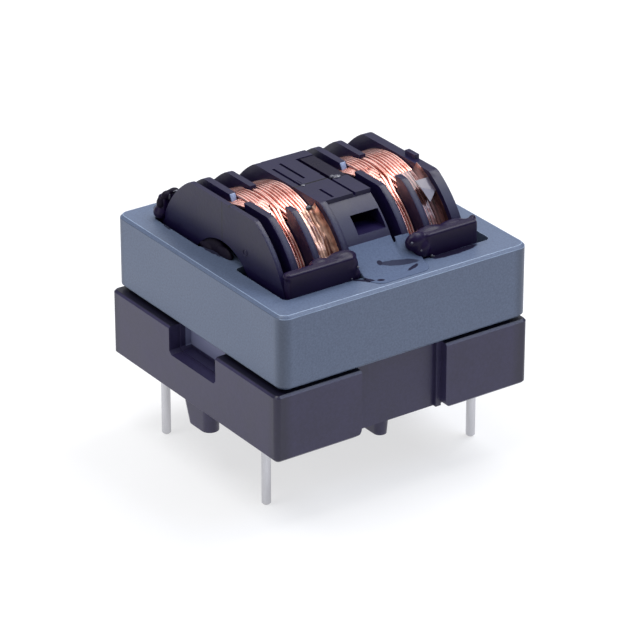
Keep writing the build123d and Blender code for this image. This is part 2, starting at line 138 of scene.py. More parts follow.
def smooth(piece: Piece, degrees: float) -> None:
    """Shades a piece smooth, with sharp edges above the angle."""
    select_only(piece)
    bpy.ops.object.shade_smooth_by_angle(angle=math.radians(degrees))


def apply_all(piece: Piece) -> None:
    """Applies every modifier of a piece, in order.

    Args:
        piece: The piece.
    """
    select_only(piece)
    for modifier in list(piece.modifiers):
        bpy.ops.object.modifier_apply(modifier=modifier.name)


def link_new(name: str, data: bpy.types.ID) -> Piece:
    """Puts a mesh, curve, light or camera into the scene.

    Args:
        name: The new object's name.
        data: What it shows.

    Returns:
        The new object.
    """
    piece = bpy.data.objects.new(name, data)
    bpy.context.scene.collection.objects.link(piece)
    return piece


def settle(name: str = "") -> Piece:
    """Puts the place, turn and size of the primitive just added into its mesh.

    Args:
        name: Its name, where it stays a piece of its own.

    Returns:
        The primitive.
    """
    piece = bpy.context.view_layer.objects.active
    if name:
        piece.name = name
    bpy.ops.object.transform_apply(location=True, rotation=True, scale=True)
    return piece


def node_copy(name: str, node: str) -> Piece:
    """Copies a CAD node into a clean mesh, with its flat faces made whole.

    Args:
        name: The new piece's name.
        node: The CAD node.

    Returns:
        The new object, with no material.
    """
    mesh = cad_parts[node].data.copy()
    mesh.name = name
    mesh.materials.clear()
    piece = link_new(name, mesh)
    select_only(piece)
    bpy.ops.mesh.customdata_custom_splitnormals_clear()
    edit_all(piece)
    bpy.ops.mesh.remove_doubles(threshold=2e-7)
    bpy.ops.mesh.dissolve_limited(angle_limit=math.radians(0.6))
    close_edit()
    return piece


def coat(piece: Piece, *finishes: Material) -> None:
    """Gives a piece its material slots.

    Args:
        piece: The piece.
        finishes: Its materials, the first of them for every face.
    """
    piece.data.materials.clear()
    for finish in finishes:
        piece.data.materials.append(finish)


def soften_edges(
    piece: Piece,
    width_mm: float,
    segments: int = 2,
    degrees: float = ROUNDED_ABOVE,
    slot: int = -1,
) -> None:
    """Rounds every edge sharper than the angle and keeps the flat faces flat.

    Args:
        piece: The piece to round.
        width_mm: The width of the rounding.
        segments: How many steps it takes.
        degrees: The smallest angle that is rounded.
        slot: The material slot of the rounding, or -1 for that of the faces beside it.
    """
    bevel = piece.modifiers.new("soft_edges", "BEVEL")
    bevel.width = width_mm * MM
    bevel.segments = segments
    bevel.limit_method = "ANGLE"
    bevel.angle_limit = math.radians(degrees)
    bevel.use_clamp_overlap = True
    bevel.material = slot
    apply_all(piece)
    smooth(piece, 35.0)
    even = piece.modifiers.new("even_faces", "WEIGHTED_NORMAL")
    even.keep_sharp = True
    apply_all(piece)


def thicken(piece: Piece, thick_mm: float) -> None:
    """Gives an open sheet its thickness, half to each side.

    Args:
        piece: The sheet.
        thick_mm: Its thickness.
    """
    shell = piece.modifiers.new("shell", "SOLIDIFY")
    shell.thickness = thick_mm * MM
    shell.offset = 0.0
    apply_all(piece)


def ellipsoid(centre: Point, radii: Point) -> Piece:
    """Adds an ellipsoid.

    Args:
        centre: Its centre, in millimetres.
        radii: Its three radii, in millimetres.

    Returns:
        The ellipsoid.
    """
    bpy.ops.mesh.primitive_uv_sphere_add(
        segments=28, ring_count=16, radius=MM, location=metres(centre), scale=radii
    )
    return settle()


def resize_all(piece: Piece, times: float) -> None:
    """Resizes a piece's mesh about the frame's origin.

    Args:
        piece: The piece.
        times: How much larger it gets.
    """
    edit_all(piece)
    bpy.ops.transform.resize(value=(times, times, times), center_override=(0, 0, 0))
    close_edit()


def melt(name: str, parts: Sequence[Piece], voxel_mm: float, rounds: int) -> Piece:
    """Runs solids that overlap into one soft body, as set resin has it.

    The remesh works on a mesh made a hundred times as large, because its voxels have a smallest size.

    Args:
        name: The new piece's name.
        parts: The solids, which are used up.
        voxel_mm: How fine the new surface is.
        rounds: How often it is smoothed.

    Returns:
        The new object, with no material.
    """
    select_only(*parts)
    if len(parts) > 1:
        bpy.ops.object.join()
    piece = bpy.context.view_layer.objects.active
    piece.name = name
    piece.data.name = name
    piece.data.materials.clear()
    resize_all(piece, 100.0)
    remesh = piece.modifiers.new("melt", "REMESH")
    remesh.mode = "VOXEL"
    remesh.voxel_size = voxel_mm * MM * 100.0
    relax = piece.modifiers.new("relax", "SMOOTH")
    relax.factor = 0.5
    relax.iterations = rounds
    apply_all(piece)
    resize_all(piece, 0.01)
    smooth(piece, 80.0)
    return piece


def dress(piece: Piece, slot: str, *nodes: str) -> None:
    """Gives a finished piece its place in the model.

    Args:
        piece: The finished piece, with its materials.
        slot: The record's material slot; not used.
        nodes: The CAD nodes that it stands for.
    """
    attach(piece, "root")
    if nodes:
        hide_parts(*nodes)
    LOG.info("%s: %d faces", piece.name, len(piece.data.polygons))


# Finishes.


@dataclass(frozen=True)
class Mark:
    """A dark mark on the core's top or on the resin there, as an ellipse in millimetres; some are real marks
    and some are painted shade and reflections.
    """

    x: float
    y: float
    long: float
    wide: float
    turn: float
    ragged: float
    depth: float


MARKS_AND_PAINTED_SHADE = (
    # Real marks: a mark in the resin and a dot beside it.
    Mark(1.25, -9.85, 1.75, 0.28, -12.0, 0.2, 0.78),
    Mark(-0.42, -9.37, 0.24, 0.22, 0.0, 0.5, 0.92),
    # Painted reflection and shadow of the bars' ends on the core's top, as ragged dark streaks.
    Mark(1.95, -10.75, 0.75, 0.2, 23.0, 0.7, 0.95),
    Mark(-2.75, -10.35, 1.0, 0.22, -45.0, 0.9, 0.95),
    Mark(-1.6, -11.2, 0.32, 0.2, -20.0, 0.4, 1.0),
    # Painted reflection and shadow of the right bar along its foot.
    Mark(6.6, -10.05, 2.3, 0.58, 0.0, 0.3, 1.0),
    # At the rear left: a mark by the drop, then painted shade along the end flange's foot.
    Mark(-9.2, 10.9, 0.9, 0.16, 60.0, 0.9, 0.7),
    Mark(-9.75, 2.0, 1.9, 0.3, 90.0, 0.9, 0.9),
    Mark(-10.1, 8.0, 0.9, 0.16, 80.0, 0.8, 0.9),
)


def dimmed(colour: Colour, times: float) -> Colour:
    """Returns a colour made darker or paler by a factor."""
    return tuple(part * times for part in colour)


class Graph:
    """A material's node tree, with one method for each kind of node that the finishes use."""

    def __init__(self, name: str) -> None:
        """Starts a material with a Principled shader and object coordinates.

        Args:
            name: The material's name.
        """
        self.material = bpy.data.materials.new(name)
        self.material.use_nodes = True
        self.tree = self.material.node_tree
        self.shader = self.tree.nodes["Principled BSDF"]
        self.coords = self.tree.nodes.new("ShaderNodeTexCoord").outputs["Object"]

    def fill(self, socket: Socket, value: Socket | Sequence[float] | float) -> None:
        """Fills an input.

        Args:
            socket: The input.
            value: The output to link it to, or the value or colour to set.
        """
        if isinstance(value, Socket):
            self.tree.links.new(value, socket)
        elif socket.type == "RGBA":
            socket.default_value = (*value, 1.0)
        else:
            socket.default_value = value

    def node(self, kind: str, **inputs: Socket | Sequence[float] | float) -> bpy.types.Node:
        """Adds a node.

        Args:
            kind: The node's type.
            inputs: What fills its inputs, with underscores for the spaces in their names.

        Returns:
            The node.
        """
        node = self.tree.nodes.new(kind)
        for key, value in inputs.items():
            self.fill(node.inputs[key.replace("_", " ")], value)
        return node

    def shade(self, **inputs: Socket | Colour | float) -> None:
        """Fills the shader's inputs, with underscores for the spaces in their names."""
        for key, value in inputs.items():
            self.fill(self.shader.inputs[key.replace("_", " ")], value)

    def stretched(self, scale: Point) -> Socket:
        """Returns object coordinates scaled along each axis."""
        return self.node("ShaderNodeMapping", Vector=self.coords, Scale=scale).outputs["Vector"]

    def noise(
        self, scale: float, detail: float = 3.0, rough: float = 0.5, coords: Socket | None = None
    ) -> Socket:
        """Adds a noise pattern.

        Args:
            scale: How many features there are in a metre.
            detail: How many octaves it has.
            rough: How strong the fine ones are.
            coords: Coordinates other than the object's own.

        Returns:
            The pattern's value.
        """
        place = coords or self.coords
        node = self.node("ShaderNodeTexNoise", Vector=place, Scale=scale, Detail=detail, Roughness=rough)
        return node.outputs["Fac"]

    def bands(self, axis: Axis, pitch_mm: float, wander: float) -> Socket:
        """Adds soft bands across an axis.

        Args:
            axis: The axis.
            pitch_mm: The way from one band to the next.
            wander: How far they stray.

        Returns:
            The pattern's value.
        """
        scale = math.pi / (10.0 * pitch_mm * MM)
        node = self.node(
            "ShaderNodeTexWave", Vector=self.coords, Scale=scale, Distortion=wander, Detail_Scale=0.3
        )
        node.bands_direction = axis.value
        return node.outputs["Fac"]

    def calc(self, operation: Operation, first: Socket, *others: Socket | float) -> Socket:
        """Works out a sum, product or other result, two values at a time.

        Args:
            operation: What is worked out.
            first: The first value.
            others: The others, or none where the operation takes one value.

        Returns:
            The result.
        """
        result = first
        for other in others or (0.0,):
            node = self.node("ShaderNodeMath")
            node.operation = operation.value
            self.fill(node.inputs[0], result)
            self.fill(node.inputs[1], other)
            result = node.outputs["Value"]
        return result

    def product(self, *factors: Socket | float) -> Socket:
        """Returns the product of several values, the first of them an output."""
        return self.calc(Operation.MULTIPLY, *factors)

    def remap(
        self, value: Socket, start: float, end: float, low: float = 0.0, high: float = 1.0
    ) -> Socket:
        """Carries a value from one range to another and holds it there.

        Args:
            value: The value.
            start: Where the first range starts.
            end: Where it ends.
            low: What its start becomes.
            high: What its end becomes.

        Returns:
            The new value.
        """
        node = self.node(
            "ShaderNodeMapRange", Value=value, From_Min=start, From_Max=end, To_Min=low, To_Max=high
        )
        return node.outputs["Result"]

    def span(self, value: Socket, low: float, high: float) -> Socket:
        """Returns a value carried from 0..1 to low..high."""
        return self.remap(value, 0.0, 1.0, low, high)

    def along(self, axis: Axis, start_mm: float, end_mm: float) -> Socket:
        """Returns how far a point lies between two places on an axis, from 0 to 1."""
        parts = self.node("ShaderNodeSeparateXYZ", Vector=self.coords)
        return self.remap(parts.outputs[axis.value], start_mm * MM, end_mm * MM)

    def off_centre(self, axis: Axis, reach_mm: float = 20.0) -> Socket:
        """Returns how many millimetres a point lies from the middle of an axis, to either side."""
        signed = self.span(self.along(axis, -reach_mm, reach_mm), -reach_mm, reach_mm)
        return self.calc(Operation.ABSOLUTE, signed)

    def corner(self, start_mm: float = 11.15, end_mm: float = 11.95, below_mm: float = 19.1) -> Socket:
        """Finds the rounded upright corners of the core or base, where painted shade dims the colour by
        half.

        Args:
            start_mm: How far from the middle a corner starts, along both sides.
            end_mm: Where it is full.
            below_mm: The height above which there is none.

        Returns:
            0.5 on the corners and 0 on the flat sides.
        """
        ends = [self.remap(self.off_centre(axis), start_mm, end_mm) for axis in (Axis.X, Axis.Y)]
        below = self.span(self.along(Axis.Z, below_mm, below_mm + 0.1), 0.5, 0.0)
        return self.product(*ends, below)

    def ellipse(self, mark: Mark, fray: tuple[float, float] = (1.08, 0.92)) -> Socket:
        """Draws a mark as a ragged ellipse.

        Args:
            mark: The mark.
            fray: Where its edge starts and where it is full, as shares of its radii.

        Returns:
            The mark's depth inside it and 0 outside it.
        """
        place = self.node(
            "ShaderNodeMapping",
            Vector=self.coords,
            Location=metres((mark.x, mark.y, 19.5)),
            Rotation=(0.0, 0.0, math.radians(mark.turn)),
            Scale=metres((mark.long, mark.wide, 4.0)),
        )
        place.vector_type = "TEXTURE"
        length = self.node("ShaderNodeVectorMath")
        length.operation = "LENGTH"
        self.fill(length.inputs[0], place.outputs["Vector"])
        stray = self.span(self.noise(1400.0, 3.0, 0.6), -mark.ragged, mark.ragged)
        inside = self.remap(self.calc(Operation.ADD, length.outputs["Value"], stray), *fray)
        return self.product(inside, mark.depth)

    def mix(self, factor: Socket, first: Socket | Colour, second: Socket | Colour) -> Socket:
        """Mixes two colours.

        Args:
            factor: How much of the second there is.
            first: The colour where the factor is 0.
            second: The colour where it is 1.

        Returns:
            The mixed colour.
        """
        node = self.node("ShaderNodeMix")
        node.data_type = "RGBA"
        self.fill(node.inputs["Factor"], factor)
        self.fill(node.inputs[6], first)
        self.fill(node.inputs[7], second)
        return node.outputs[2]

    def ramp(self, factor: Socket, *stops: tuple[float, Colour]) -> Socket:
        """Makes a colour that follows a value.

        Args:
            factor: The value.
            stops: The first and the last place and colour.

        Returns:
            The colour.
        """
        node = self.node("ShaderNodeValToRGB", Fac=factor)
        for element, (position, colour) in zip(node.color_ramp.elements, stops):
            element.position = position
            element.color = (*colour, 1.0)
        return node.outputs["Color"]

    def bump(
        self, height: Socket, strength: float, distance_mm: float, under: Socket | None = None
    ) -> Socket:
        """Raises the surface by a height.

        Args:
            height: The height, from 0 to 1.
            strength: How much of it shows.
            distance_mm: What a height of 1 is.
            under: A normal to add to.

        Returns:
            The new normal.
        """
        node = self.node("ShaderNodeBump", Height=height, Strength=strength, Distance=distance_mm * MM)
        if under is not None:
            self.fill(node.inputs["Normal"], under)
        return node.outputs["Normal"]


@dataclass(frozen=True)
class CoatedFerrite:
    """Slate blue-grey coating on ground ferrite: satin, finely speckled, with a painted highlight and wear
    on its edges.
    """

    name: str = "ferrite_coating"
    light: Colour = (0.104, 0.138, 0.216)
    dark: Colour = (0.074, 0.099, 0.162)
    # pale is the painted highlight on the top and front edges.
    pale: Colour = (0.32, 0.41, 0.56)
    # The marks' colour: real marks, and painted shade and reflections of the bars and the end flange.
    mark_and_shade: Colour = (0.012, 0.010, 0.026)
    roughness: float = 0.42
    gloss: float = 0.5
    mark_and_shade_gloss: float = 0.04
    front_y: float = -11.9

    def coating(self, graph: Graph) -> Socket:
        """Sets up the speckled coating with its marks, some of them painted shade and reflections, and
        painted shade on its upright corners.

        Args:
            graph: The material's graph.

        Returns:
            The coating's colour.
        """
        speckle = graph.noise(6200.0, 2.0, 0.6)
        cloud = graph.noise(160.0, 4.0, 0.55)
        # The marks, among them painted shade and reflections, dim the colour and the gloss.
        marks_and_shade = graph.calc(Operation.MAXIMUM, *(graph.ellipse(mark) for mark in MARKS_AND_PAINTED_SHADE))
        graph.shade(
            Roughness=graph.span(cloud, self.roughness - 0.06, self.roughness + 0.06),
            Normal=graph.bump(speckle, 0.22, 0.02, graph.bump(cloud, 0.15, 0.1)),
            Specular_IOR_Level=graph.span(marks_and_shade, self.gloss, self.mark_and_shade_gloss),
        )
        colour = graph.ramp(speckle, (0.3, self.dark), (0.7, self.light))
        colour = graph.mix(marks_and_shade, colour, self.mark_and_shade)
        # Painted shade on the upright corners.
        return graph.mix(graph.corner(), colour, dimmed(self.dark, 0.3))

    def material(self) -> Material:
        """Makes the coating.

        Returns:
            The material.
        """
        graph = Graph(self.name)
        graph.shade(Base_Color=self.coating(graph))
        return graph.material

    def edge_highlight_and_wear(self) -> Material:
        """Makes the coating on the edges.

        Returns:
            The material, with a painted highlight and wear round the top and in front, and painted shade on
            the other edges.
        """
        graph = Graph("ferrite_edge_highlight_and_wear")
        plain = self.coating(graph)
        top = graph.along(Axis.Z, CORE_TOP - 0.05, CORE_TOP + 0.02)
        front = graph.along(Axis.Y, self.front_y, self.front_y - 0.1)
        front = graph.product(front, graph.along(Axis.Z, 19.0, 19.1))
        unevenness = graph.span(graph.noise(900.0, 3.0, 0.6), 0.25, 1.15)
        edge_highlight_and_wear = graph.product(graph.calc(Operation.MAXIMUM, top, front), unevenness)
        # Edges away from the top and the front get painted shade.
        painted_edge_shade = graph.mix(graph.noise(700.0), dimmed(self.dark, 0.35), plain)
        graph.shade(Base_Color=graph.mix(edge_highlight_and_wear, painted_edge_shade, self.pale))
        return graph.material


@dataclass(frozen=True)
class MouldedPlastic:
    """Black moulding resin with a violet cast."""

    name: str
    base: Colour
    roughness: float
    grain: float
    gloss: float
    # How much paler the rounded edges are: a painted highlight with wear.
    edge: float = 1.0

    def tinted(self, graph: Graph, colour: Socket) -> Socket:
        """Returns the colour as it is; a moulding with other colours in places changes it."""
        return colour

    def graph(self, name: str, times: float) -> Graph:
        """Makes the plastic's graph.

        Args:
            name: The material's name.
            times: How much paler than the plain plastic it is.

        Returns:
            The graph.
        """
        graph = Graph(name)
        grain = graph.noise(3800.0, 3.0, 0.6)
        cloud = graph.noise(420.0, 4.0, 0.6)
        halves = (graph.product(part, 0.5) for part in (grain, cloud))
        mottle = graph.calc(Operation.ADD, *halves)
        base = dimmed(self.base, times)
        graph.shade(
            Base_Color=self.tinted(graph, graph.ramp(mottle, (0.35, dimmed(base, 0.7)), (0.65, base))),
            Roughness=graph.span(cloud, self.roughness - 0.08, self.roughness + 0.08),
            Normal=graph.bump(grain, self.grain, 0.02, graph.bump(cloud, 0.12, 0.1)),
            Specular_IOR_Level=self.gloss,
        )
        return graph

    def material(self) -> Material:
        """Returns the plastic."""
        return self.graph(self.name, 1.0).material

    def edge_highlight_and_wear(self) -> Material:
        """Returns the plastic on its rounded edges, paler: a painted highlight with wear."""
        return self.graph(f"{self.name}_edge", self.edge).material


@dataclass(frozen=True)
class BasePlastic(MouldedPlastic):
    """The base's resin, with painted light on the side walls inside the notches, and painted shade on the
    corners and on top of the rim, where the core sits.
    """

    painted_notch_light: Colour = (0.19, 0.20, 0.32)
    notch_near: float = 9.8
    notch_far: float = 11.25
    notch_half: float = 4.2
    notch_floor: float = 10.35
    rim_z: float = 12.53

    def tinted(self, graph: Graph, colour: Socket) -> Socket:
        """Adds painted light on the notches' walls, and painted shade on the corners and on the rim.

        Args:
            graph: The material's graph.
            colour: The plain plastic's colour.

        Returns:
            The new colour.
        """
        depth = graph.off_centre(Axis.X)
        painted_notch_light = graph.product(
            graph.calc(Operation.BELOW, depth, self.notch_far),
            graph.calc(Operation.ABOVE, depth, self.notch_near),
            graph.calc(Operation.BELOW, graph.off_centre(Axis.Y), self.notch_half),
            graph.along(Axis.Z, self.notch_floor, self.notch_floor + 0.05),
        )
        # The notches' pale walls are painted light.
        colour = graph.mix(painted_notch_light, colour, self.painted_notch_light)
        # Painted shade on the upright corners.
        colour = graph.mix(graph.corner(), colour, dimmed(self.base, 0.2))
        # A dark line on top of the rim, under the core: painted shade.
        rim = graph.along(Axis.Z, self.rim_z - 0.06, self.rim_z - 0.01)
        return graph.mix(rim, colour, dimmed(self.base, 0.25))


@dataclass(frozen=True)
class BobbinPlastic(MouldedPlastic):
    """The bobbin's resin, with a dark line where its halves meet on the end flanges and in the lid."""

    flange_x: float = 9.6
    seam_half: float = 0.05
    lid_z: float = 24.3

    def tinted(self, graph: Graph, colour: Socket) -> Socket:
        """Adds the seams.

        Args:
            graph: The material's graph.
            colour: The plain plastic's colour.

        Returns:
            The new colour.
        """
        flange = graph.product(
            graph.calc(Operation.BELOW, graph.off_centre(Axis.Y), self.seam_half),
            graph.calc(Operation.ABOVE, graph.off_centre(Axis.X), self.flange_x),
        )
        tongue = graph.product(
            graph.along(Axis.Y, -1.18, -1.16),
            graph.along(Axis.Y, -0.95, -0.97),
            graph.along(Axis.X, 0.3, 0.25),
            graph.along(Axis.Z, self.lid_z, self.lid_z + 0.05),
        )
        return graph.mix(graph.calc(Operation.MAXIMUM, flange, tongue), colour, dimmed(self.base, 0.15))


@dataclass(frozen=True)
class EnamelledCopper:
    """Bright copper wire under clear enamel."""

    bright: Colour = (0.98, 0.54, 0.47)
    deep: Colour = (0.70, 0.28, 0.22)

    def material(self) -> Material:
        """Makes the wire's finish.

        Returns:
            The material.
        """
        graph = Graph("enamelled_copper")
        graph.shade(
            Base_Color=graph.ramp(graph.noise(800.0, 3.0, 0.6), (0.36, self.deep), (0.58, self.bright)),
            Roughness=graph.span(graph.noise(500.0, 2.0), 0.16, 0.3),
            Normal=graph.bump(graph.noise(400.0, 2.0), 0.05, 0.03),
            Metallic=1.0,
            Coat_Weight=0.4,
            Coat_Roughness=0.08,
        )
        return graph.material


@dataclass(frozen=True)
class AmberFilm:
    """Amber film, wrinkled over the wire beneath it."""

    name: str
    pale: Colour
    deep: Colour
    wrinkled: float
    gloss: float
    pitch_mm: float = 0.27

    def material(self) -> Material:
        """Makes the film's finish.

        Returns:
            The material.
        """
        graph = Graph(self.name)
        streaks = graph.noise(900.0, 3.0, 0.6, graph.stretched((3.2, 0.35, 0.35)))
        wrinkle = graph.noise(1100.0, 2.0, 0.5, graph.stretched((1.6, 0.5, 0.5)))
        wires = graph.bands(Axis.X, self.pitch_mm, 1.5)
        shares = (graph.product(*pair) for pair in ((streaks, 0.8), (wires, 0.2)))
        tone = graph.calc(Operation.ADD, *shares)
        graph.shade(
            Base_Color=graph.ramp(tone, (0.36, self.deep), (0.72, self.pale)),
            Normal=graph.bump(wrinkle, self.wrinkled, 0.10, graph.bump(wires, 0.35, 0.05)),
            Roughness=graph.span(streaks, 0.16, 0.4),
            Metallic=0.5,
            Coat_Weight=self.gloss,
            Coat_Roughness=0.05,
        )
        return graph.material


@dataclass(frozen=True)
class TinPlate:
    """Dull bright tin on the pins."""

    base: Colour = (0.61, 0.61, 0.64)

    def material(self) -> Material:
        """Makes the pins' finish.

        Returns:
            The material.
        """
        graph = Graph("tin_plate")
        drawn = graph.noise(1500.0, 3.0, 0.6, graph.stretched((1.0, 1.0, 0.12)))
        graph.shade(
            Base_Color=graph.ramp(drawn, (0.3, dimmed(self.base, 0.8)), (0.7, self.base)),
            Roughness=graph.span(drawn, 0.28, 0.5),
            Normal=graph.bump(drawn, 0.25, 0.02),
            Metallic=1.0,
        )
        return graph.material


@dataclass(frozen=True)
class BondingResin:
    """Set resin with a wet gloss."""

    name: str
    base: Colour
    roughness: float

    def material(self) -> Material:
        """Makes the resin's finish.

        Returns:
            The material.
        """
        graph = Graph(self.name)
        flow = graph.noise(600.0, 2.0, 0.5)
        graph.shade(
            Base_Color=graph.ramp(flow, (0.3, dimmed(self.base, 0.7)), (0.7, self.base)),
            Roughness=graph.span(flow, self.roughness - 0.05, self.roughness + 0.08),
            Normal=graph.bump(flow, 0.25, 0.1),
            Coat_Weight=0.5,
            Coat_Roughness=0.08,
        )
        return graph.material


# Sub-assemblies.


@dataclass
class Core:
    """The closed ferrite core."""

    edge_mm: float = 0.05
    rounded_above: float = 20.0

    def build(self) -> None:
        """Builds the core with its chamfers softened, so that both their edges catch the light, and gives
        the edges a painted highlight with wear.
        """
        piece = node_copy("ferrite_core", "core")
        finish = CoatedFerrite()
        coat(piece, finish.material(), finish.edge_highlight_and_wear())
        soften_edges(piece, self.edge_mm, degrees=self.rounded_above, slot=EDGE_SLOT)
        dress(piece, "ferrite", "core")


@dataclass
class Base:
    """The moulded base and its pins."""

    edge_mm: float = 0.07
    pin_edge_mm: float = 0.1

    def build(self) -> None:
        """Builds the base and the four pins."""
        piece = node_copy("pin_base", "base")
        finish = BasePlastic("base_resin", (0.030, 0.025, 0.072), 0.36, grain=0.25, gloss=0.45, edge=1.8)
        coat(piece, finish.material(), finish.edge_highlight_and_wear())
        soften_edges(piece, self.edge_mm, slot=EDGE_SLOT)
        dress(piece, "base_plastic", "base")
        tin = TinPlate().material()
        for place in PLACES:
            pin = node_copy(f"tinned_{place}", f"pin_{place}")
            coat(pin, tin)
            soften_edges(pin, self.pin_edge_mm, segments=3, degrees=40.0)
            dress(pin, "tinned_pin", f"pin_{place}")


@dataclass
class Bobbin:
    """The bobbin's two halves, with the strip in the lid and the pale facets on the flanges, which are a
    painted reflection.
    """

    edge_mm: float = 0.08
    trim_edge_mm: float = 0.05
    mark_at: Point = (-9.65, -3.4, AXIS_Z + 5.0)
    mark_r: float = 0.28
    # The pale facets on the flanges' slanted cuts are a painted reflection.
    facets_x: tuple[float, ...] = (-8.02, 3.08)
    facet_y: float = 0.69
    facet_z: float = 24.10
    facet_tilt: float = 60.2
    facet_size: Point = (0.54, 0.82, 0.1)
    strip_left: float = 0.52
    strip_right: float = 1.92
    strip_y: float = 1.08
    strip_z: float = 24.30
    strip_long: float = 4.9
    strip_deep: float = 0.32

    def build(self) -> None:
        """Builds both halves with softened edges, and then the trim on them."""
        finish = BobbinPlastic("bobbin_resin", (0.009, 0.006, 0.036), 0.34, grain=0.35, gloss=0.30, edge=2.8)
        plain, edge_highlight_and_wear = finish.material(), finish.edge_highlight_and_wear()
        for half in ("front", "back"):
            piece = node_copy(f"bobbin_half_{half}", f"bobbin_{half}")
            coat(piece, plain, edge_highlight_and_wear)
            soften_edges(piece, self.edge_mm, slot=EDGE_SLOT)
            if half == "front":
                self.ejector_mark(piece)
            dress(piece, "bobbin_plastic", f"bobbin_{half}")
        self.lid_strip(edge_highlight_and_wear)
        self.painted_glint_facets()

    def ejector_mark(self, piece: Piece) -> None:
        """Adds the round mark of an ejector pin to the end flange.

        Args:
            piece: The bobbin half.
        """
        bpy.ops.mesh.primitive_torus_add(
            major_segments=48,
            minor_segments=6,
            major_radius=self.mark_r * MM,
            minor_radius=0.05 * MM,
            location=metres(self.mark_at),
            rotation=(0, QUARTER_TURN, 0),
        )
        ring = settle()
        coat(ring, piece.data.materials[0])
        smooth(ring, 60.0)
        select_only(piece, ring)
        bpy.ops.object.join()

    def lid_strip(self, edge: Material) -> None:
        """Builds the dark strip that fills the low part of the lid.

        Args:
            edge: The finish of its second slot.
        """
        middle = (self.strip_left + self.strip_right) / 2
        bpy.ops.mesh.primitive_cube_add(
            size=MM,
            location=metres((middle, self.strip_y, self.strip_z)),
            scale=(self.strip_right - self.strip_left, self.strip_long, self.strip_deep),
        )
        piece = settle("lid_insert")
        dark = MouldedPlastic("lid_insert", (0.005, 0.002, 0.016), 0.3, grain=0.5, gloss=0.15)
        coat(piece, dark.material(), edge)
        soften_edges(piece, self.trim_edge_mm)
        dress(piece, "bobbin_plastic")

    def painted_glint_facets(self) -> None:
        """Builds the pale facets on the open outer flanges' slanted cuts: a painted reflection of the light.
        """
        painted_glint_finish = BondingResin("painted_glint_facet", (0.26, 0.32, 0.50), 0.4).material()
        for number, x in enumerate(self.facets_x, 1):
            bpy.ops.mesh.primitive_cube_add(
                size=MM,
                location=metres((x, self.facet_y, self.facet_z)),
                rotation=(math.radians(self.facet_tilt), 0, 0),
                scale=self.facet_size,
            )
            piece = settle(f"glue_facet_{number}")
            coat(piece, painted_glint_finish)
            soften_edges(piece, self.trim_edge_mm, segments=3)
            dress(piece, "resin")


